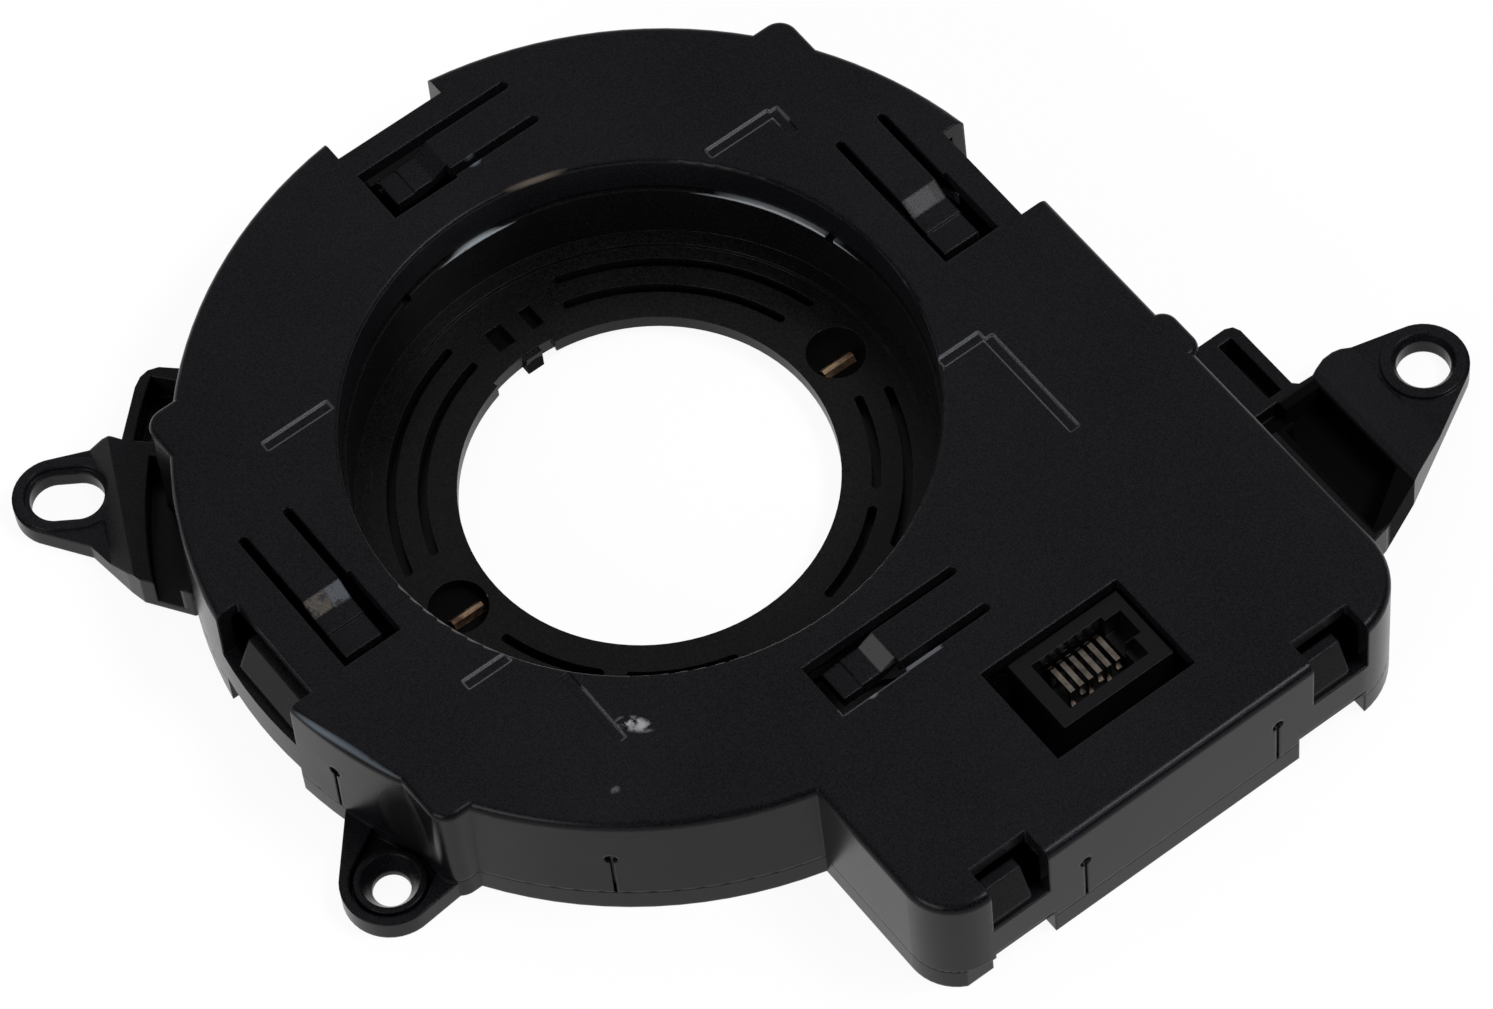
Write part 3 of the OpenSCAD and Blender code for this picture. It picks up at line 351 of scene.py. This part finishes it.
rampHalfZ = 0.66
housingScuffsAndHighlights = [
    # A long scuff and a speck on the plate
    scuffAndHighlight((-24.4, -32.2, 16.4), (2.4, 1.1, 0.6), 0.75, (0.42, 0.42, 0.44), low=0.46, turn=-50),
    scuffAndHighlight((-31, -37.4, 16.4), (0.7, 0.5, 0.5), 0.3, (0.25, 0.25, 0.27), 1500, 0.4),
    # Painted highlights: left latch's ramp in two tones, right latch's ramp
    scuffAndHighlight((-42.5, 2.65, 15.72), (1.6, 1.05, rampHalfZ), 0.15, (0.30, 0.25, 0.18), 1100, 0.35, boxed=True),
    scuffAndHighlight((-39.9, 2.65, 15.72), (1.2, 1.3, rampHalfZ), 0.2, (0.24, 0.29, 0.34), low=0.3, boxed=True),
    scuffAndHighlight((42.2, 2.65, 15.72), (1.7, 1.05, rampHalfZ), 0.1, (0.24, 0.24, 0.26), low=0.35, boxed=True),
    # Painted highlights on the well's rim, the rounded edge beside the left ear and the front edge
    scuffAndHighlight((9.45, 32.98, 16.1), (0.5, 5.2, 0.45), 0.35, (0.32, 0.27, 0.21), low=0.3, turn=74),
    scuffAndHighlight((-50.3, -14.3, 15.9), (8.3, 0.7, 0.5), 0.8, (0.30, 0.36, 0.42), 500, turn=-73),
    scuffAndHighlight((18.9, -73.2, 16.3), (18.3, 0.35, 0.22), 0.35, (0.14, 0.17, 0.21), 400, 0.2,
          boxed=True, core=0.3),
    # Painted highlights on the front latch's ramp, then on the corners of the latches
    scuffAndHighlight((1.75, -41.3, 15.72), (1.05, 2.3, rampHalfZ), 0.25, (0.24, 0.23, 0.23), boxed=True),
    scuffAndHighlight((5.5, 39.6, 16.1), (1.2, 1.0, 0.9), 0.6, (0.26, 0.30, 0.36), low=0.2),
    scuffAndHighlight((45.3, -3.1, 16.1), (0.8, 0.9, 0.9), 0.5, (0.26, 0.28, 0.32), low=0.2),
    scuffAndHighlight((5.2, -45.3, 16.3), (2.5, 0.5, 0.3), 0.4, (0.22, 0.23, 0.26), 700, boxed=True),
    scuffAndHighlight((-2, -45.5, 16.1), (0.9, 0.7, 0.9), 0.6, (0.28, 0.31, 0.34), low=0.2),
]

housingLook = {
    "colour": (0.0106, 0.0099, 0.0123), "dark": (0.0016, 0.0016, 0.0021), "rough": 0.24, "roughDrift": 0.03,
    "specular": 0.10, "grain": 0.7, "grainScale": 5200, "peel": 0.06, "edge": 0.4, "wear": 0.13,
    "dust": 0.12, "edgeHighlights": housingEdgeHighlights, "shadedDulls": earShadedDulls, "scuffsAndHighlights": housingScuffsAndHighlights,
}

# Painted highlights along stretches of the sleeve's upper edge, then a painted glint on the left pocket's
# rim
rotorPaintedHighlights = [
    scuffAndHighlight((0.9, 33.3, 10.55), (5.6, 1.6, 0.34), 0.9, (0.66, 0.72, 0.76), 500, turn=-1.5, core=0.6),
    scuffAndHighlight((30.1, 14.0, 10.55), (3.2, 12.8, 0.34), 0.9, (0.58, 0.62, 0.66), 500, turn=25, core=0.5),
    scuffAndHighlight((-24.0, -0.5, 1.9), (0.8, 0.5, 0.5), 0.8, (0.5, 0.5, 0.52), low=0.2, turn=-50),
]

# Painted shade, with a dull roughness: the floors of the clip pockets and the two nicks, then the key,
# darkened to near black
rotorShadedDulls = [
    {"at": (26.9, 0, 0.6), "half": (5, 5, 0.7), "core": 0.95},
    {"at": (-26.9, 0, 0.6), "half": (5, 5, 0.7), "core": 0.95},
    {"at": (-1.9, 26.3, 0.6), "half": (1.9, 2.4, 0.7), "core": 0.95},
    {"at": (2.5, 26.3, 0.6), "half": (1.5, 2.4, 0.7), "core": 0.95},
    {"at": (-0.2, 22.7, -0.5), "half": (1.9, 1.5, 1.6), "core": 0.95},
]

rotorLook = {
    "colour": (0.0083, 0.0080, 0.0091), "dark": (0.0012, 0.0012, 0.0014), "rough": 0.26, "roughDrift": 0.05,
    "specular": 0.12, "grain": 0.3, "grainScale": 4200, "peel": 0.1, "edge": 0.15, "wear": 0.25,
    "dust": 0.2, "shadedDulls": rotorShadedDulls, "scuffsAndHighlights": rotorPaintedHighlights,
}
socketLook = {
    "colour": (0.0042, 0.0042, 0.0054), "dark": (0.0016, 0.0016, 0.0020), "rough": 0.3, "roughDrift": 0.04,
    "specular": 0.15, "grain": 0.2, "grainScale": 6000, "edge": 0.12, "wear": 0.25,
}
gearLook = {
    "colour": (0.014, 0.014, 0.015), "dark": (0.01, 0.01, 0.011), "rough": 0.35, "roughDrift": 0.05,
    "grain": 0.2, "grainScale": 3000, "edge": 0.1, "wear": 0.3, "dust": 0.1,
}
chipLook = {
    "colour": (0.02, 0.02, 0.022), "dark": (0.014, 0.014, 0.015), "rough": 0.6, "roughDrift": 0.06,
    "grain": 0.5, "grainScale": 7000, "edge": 0.08, "wear": 0.2, "dust": 0.2,
}
ochreLook = {
    "colour": (0.45, 0.28, 0.06), "dark": (0.36, 0.21, 0.045), "rough": 0.5, "roughDrift": 0.05,
    "grain": 0.3, "grainScale": 5000, "edge": 0.1, "wear": 0.3, "wornColour": (0.5, 0.4, 0.2), "dust": 0.1,
}
ceramicLook = {
    "colour": (0.24, 0.14, 0.07), "dark": (0.18, 0.1, 0.05), "rough": 0.4, "roughDrift": 0.05,
    "grain": 0.2, "grainScale": 6000, "edge": 0.06, "wear": 0.2, "wornColour": (0.5, 0.5, 0.5), "dust": 0.1,
}
chokeLook = {
    "colour": (0.045, 0.045, 0.048), "dark": (0.03, 0.03, 0.033), "rough": 0.55, "roughDrift": 0.06,
    "grain": 0.5, "grainScale": 4000, "edge": 0.08, "wear": 0.3, "dust": 0.1,
}
clipLook = {"colour": (0.50, 0.34, 0.22), "stain": (0.10, 0.055, 0.035), "rough": 0.4, "stainScale": 420}
contactLook = {
    "colour": (0.21, 0.18, 0.155), "stain": (0.08, 0.068, 0.056), "rough": 0.36, "stretch": (1, 0.15, 0.15),
}
magnetLook = {
    "colour": (0.09, 0.09, 0.095), "stain": (0.06, 0.06, 0.065), "rough": 0.5,
    "metal": 0.4, "stretch": (1, 1, 0.2),
}
canLook = {"colour": (0.62, 0.62, 0.6), "stain": (0.5, 0.5, 0.48), "rough": 0.3}
boardLook = {
    "colour": (0.002, 0.010, 0.005), "dark": (0.0015, 0.008, 0.004), "trace": (0.004, 0.020, 0.010),
    "cells": 420, "traceRange": (0.05, 0.09), "traceDepth": 0.04, "bump": 0.5,
    "weaveScale": 1500, "weaveStretch": (1, 0.2, 1), "weaveRange": (0.35, 0.65),
    "glossRange": (0.3, 0.7), "rough": (0.3, 0.42),
}

finishes = {
    "housing_black": mouldedPlastic("housingBlack", housingLook),
    "rotor_black": mouldedPlastic("rotorBlack", rotorLook),
    "socket_black": mouldedPlastic("socketBlack", socketLook),
    "gear_dark": mouldedPlastic("gearDark", gearLook),
    "chip_black": mouldedPlastic("chipBlack", chipLook),
    "capacitor_ochre": mouldedPlastic("capacitorOchre", ochreLook),
    "capacitor_brown": mouldedPlastic("capacitorBrown", ceramicLook),
    "choke_grey": mouldedPlastic("chokeGrey", chokeLook),
    "clip_copper": plainMetal("clipCopper", clipLook),
    "contact_pale": plainMetal("contactPale", contactLook),
    "magnet_grey": plainMetal("magnetGrey", magnetLook),
    "crystal_can": plainMetal("crystalCan", canLook),
    "board_green": boardFinish("boardGreen", boardLook),
}

for part in frame["record"]["subparts"]:
    obj = nodes[part["node"]]
    obj.data.materials.clear()
    obj.data.materials.append(finishes[part["material_slot"]])


# Geometry node trees for what repeats
def newGrowth(name, inputs):
    tree = bpy.data.node_groups.new(name, "GeometryNodeTree")
    tree.interface.new_socket("Geometry", in_out="OUTPUT", socket_type="NodeSocketGeometry")
    for label, kind in inputs:
        tree.interface.new_socket(label, in_out="INPUT", socket_type="NodeSocket" + kind)
    return tree, addNode(tree, "NodeGroupInput").outputs, addNode(tree, "NodeGroupOutput").inputs


# The same small solid on every point of a mesh
def standOnPoints(tree, points, solid, material):
    spread = addNode(tree, "GeometryNodeInstanceOnPoints")
    feed(tree, spread.inputs["Points"], points)
    feed(tree, spread.inputs["Instance"], solid)
    whole = addNode(tree, "GeometryNodeRealizeInstances")
    feed(tree, whole.inputs[0], spread.outputs[0])
    paint = addNode(tree, "GeometryNodeSetMaterial")
    feed(tree, paint.inputs["Geometry"], whole.outputs[0])
    feed(tree, paint.inputs["Material"], material)
    return paint.outputs[0]


# Disc or cone, its sizes fed by the tree's inputs
def turnedSolid(tree, low, high, depth, sides):
    cone = addNode(tree, "GeometryNodeMeshCone")
    for name, v in (("Vertices", sides), ("Radius Bottom", low), ("Radius Top", high), ("Depth", depth)):
        feed(tree, cone.inputs[name], v)
    return cone.outputs["Mesh"]


def ejectorRing():
    tree, given, result = newGrowth("ejectorRing", [
        ("Count", "Int"), ("Ring Radius", "Float"), ("Pin Radius", "Float"), ("Height", "Float"),
        ("Place", "Vector"), ("Material", "Material")])
    ring = addNode(tree, "GeometryNodeMeshCircle")
    feed(tree, ring.inputs["Vertices"], given["Count"])
    feed(tree, ring.inputs["Radius"], given["Ring Radius"])
    move = addNode(tree, "GeometryNodeTransform")
    feed(tree, move.inputs["Geometry"], ring.outputs[0])
    feed(tree, move.inputs["Translation"], given["Place"])
    disc = turnedSolid(tree, given["Pin Radius"], given["Pin Radius"], given["Height"], sides=24)
    feed(tree, result[0], standOnPoints(tree, move.outputs[0], disc, given["Material"]))
    return tree


def jointRow():
    tree, given, result = newGrowth("jointRow", [
        ("Count", "Int"), ("Start", "Vector"), ("Step", "Vector"), ("Foot Radius", "Float"),
        ("Tip Radius", "Float"), ("Height", "Float"), ("Material", "Material")])
    row = addNode(tree, "GeometryNodeMeshLine")
    feed(tree, row.inputs["Count"], given["Count"])
    feed(tree, row.inputs["Start Location"], given["Start"])
    feed(tree, row.inputs["Offset"], given["Step"])
    cone = turnedSolid(tree, given["Tip Radius"], given["Foot Radius"], given["Height"], sides=16)
    feed(tree, result[0], standOnPoints(tree, row.outputs[0], cone, given["Material"]))
    return tree


def growPiece(name, tree, values, body):
    host = bpy.data.objects.new(name + "Seed", bpy.data.meshes.new(name + "Seed"))
    scene.collection.objects.link(host)
    grow = host.modifiers.new("grow", "NODES")
    grow.node_group = tree
    for item in tree.interface.items_tree:
        if item.in_out == "INPUT":
            grow[item.identifier] = values[item.name]
    ready = bpy.context.evaluated_depsgraph_get()
    made = bpy.data.meshes.new_from_object(host.evaluated_get(ready), depsgraph=ready)
    bpy.data.objects.remove(host)
    piece = bpy.data.objects.new(name, made)
    scene.collection.objects.link(piece)
    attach(piece, body)
    print(name, len(made.polygons), "faces")
    return piece


def middle(node):
    low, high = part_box(node)
    return (Vector(low) + Vector(high)) / 2


# Witness marks of the ejector pins, a hair proud of the underside
markProud = 0.03 * mm
ejectorMarks = {
    "Count": 12, "Ring Radius": 44.5 * mm, "Pin Radius": 1.6 * mm, "Height": 0.08 * mm,
    "Place": (0, 0, underZ - markProud), "Material": finishes["housing_black"],
}
growPiece("ejector_marks", ejectorRing(), ejectorMarks, "housing")

# Solder fillets where the contacts' tails leave the board
tailHalf = 0.32 * mm
jointDrop = 0.25 * mm
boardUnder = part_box("circuit_board")[0][2]
firstTail = (middle("contact_1").x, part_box("contact_1")[1][1] - tailHalf, boardUnder - jointDrop)
tailJoints = {
    "Count": 6, "Start": firstTail, "Step": (middle("contact_2").x - middle("contact_1").x, 0, 0),
    "Foot Radius": 0.56 * mm, "Tip Radius": 0.4 * mm, "Height": 0.5 * mm,
    "Material": finishes["crystal_can"],
}
growPiece("tail_joints", jointRow(), tailJoints, "housing")

# Stage: pale floor, dim room with a bright horizon, two soft lamps
stageLook = {
    "floorHalf": 3.0, "floorDrop": 0.0002, "floorColour": (0.5, 0.5, 0.5),
    "floorSeen": (0.09, 0.09, 0.09), "floorGlow": 0.922, "backdrop": (1.0, 1.0, 1.0),
    "room": 0.02, "backGlow": 0.58, "backAim": (0.27, 0.45, 0.85), "backRange": (0.35, 0.85),
    "horizon": 0.9, "horizonTop": 0.16, "horizonSide": 0.5,
}
lamps = {
    "left": {"place": (-1.28, -0.34, 0.70), "size": (0.9, 0.6), "power": 10, "colour": (1.0, 0.99, 0.98)},
    "right": {"place": (0.55, -0.61, 1.26), "size": (0.6, 0.36), "power": 11, "colour": (0.97, 0.98, 1.0)},
}


def seenDirect(tree):
    path = addNode(tree, "ShaderNodeLightPath").outputs
    seen = mathNode(tree, "MAXIMUM", path["Is Camera Ray"], path["Is Glossy Ray"])
    return mathNode(tree, "MAXIMUM", seen, path["Is Transmission Ray"])


# Seen or mirrored, the floor is near white, while other rays find it grey
def floorFinish(look):
    mat, tree = newTree("paleFloor")
    plain = addNode(tree, "ShaderNodeBsdfDiffuse")
    feed(tree, plain.inputs["Color"], look["floorColour"])
    lit = addNode(tree, "ShaderNodeBsdfDiffuse")
    feed(tree, lit.inputs["Color"], look["floorSeen"])
    white = addNode(tree, "ShaderNodeEmission")
    white.inputs["Strength"].default_value = look["floorGlow"]
    both = addNode(tree, "ShaderNodeAddShader")
    feed(tree, both.inputs[0], lit.outputs[0])
    feed(tree, both.inputs[1], white.outputs[0])
    pick = addNode(tree, "ShaderNodeMixShader")
    feed(tree, pick.inputs[0], seenDirect(tree))
    feed(tree, pick.inputs[1], plain.outputs[0])
    feed(tree, pick.inputs[2], both.outputs[0])
    out = addNode(tree, "ShaderNodeOutputMaterial")
    feed(tree, out.inputs[0], pick.outputs[0])
    return mat


def buildStage(look):
    half = look["floorHalf"]
    low = underZ - look["floorDrop"]
    corners = [(-half, -half, low), (half, -half, low), (half, half, low), (-half, half, low)]
    mesh = bpy.data.meshes.new("floor")
    mesh.from_pydata(corners, [], [(0, 1, 2, 3)])
    mesh.materials.append(floorFinish(look))
    floor = bpy.data.objects.new("floor", mesh)
    scene.collection.objects.link(floor)

    # Pale glow above and behind, a bright band low down beyond the part
    world = bpy.data.worlds.new("room")
    world.use_nodes = True
    tree = world.node_tree
    tree.nodes.clear()
    aim = addNode(tree, "ShaderNodeTexCoord").outputs["Generated"]
    lift = addNode(tree, "ShaderNodeVectorMath", operation="DOT_PRODUCT")
    feed(tree, lift.inputs[0], aim)
    feed(tree, lift.inputs[1], look["backAim"])
    glow = remap(tree, lift.outputs["Value"], *look["backRange"], look["room"], look["backGlow"])
    split = addNode(tree, "ShaderNodeSeparateXYZ")
    feed(tree, split.inputs[0], aim)
    nearGround = remap(tree, split.outputs["Z"], look["horizonTop"], 0.0)
    beyond = remap(tree, split.outputs["Y"], 0.0, look["horizonSide"], 0.0, look["horizon"])
    glow = mathNode(tree, "ADD", glow, times(tree, nearGround, beyond))
    path = addNode(tree, "ShaderNodeLightPath").outputs
    seen = mathNode(tree, "MAXIMUM", path["Is Camera Ray"], path["Is Transmission Ray"])
    sky = addNode(tree, "ShaderNodeBackground")
    feed(tree, sky.inputs["Color"], mixColour(tree, seen, glow, look["backdrop"]))
    out = addNode(tree, "ShaderNodeOutputWorld")
    feed(tree, out.inputs[0], sky.outputs[0])
    scene.world = world


def hangLamp(name, lamp):
    light = bpy.data.lights.new(name, "AREA")
    light.shape = "RECTANGLE"
    light.size, light.size_y = lamp["size"]
    light.energy = lamp["power"]
    light.color = lamp["colour"]
    obj = bpy.data.objects.new(name, light)
    place = Vector(lamp["place"])
    obj.location = place
    obj.rotation_euler = place.to_track_quat("Z", "Y").to_euler()
    scene.collection.objects.link(obj)


buildStage(stageLook)
for lampName, lampSet in lamps.items():
    hangLamp(lampName, lampSet)
print("stage built")
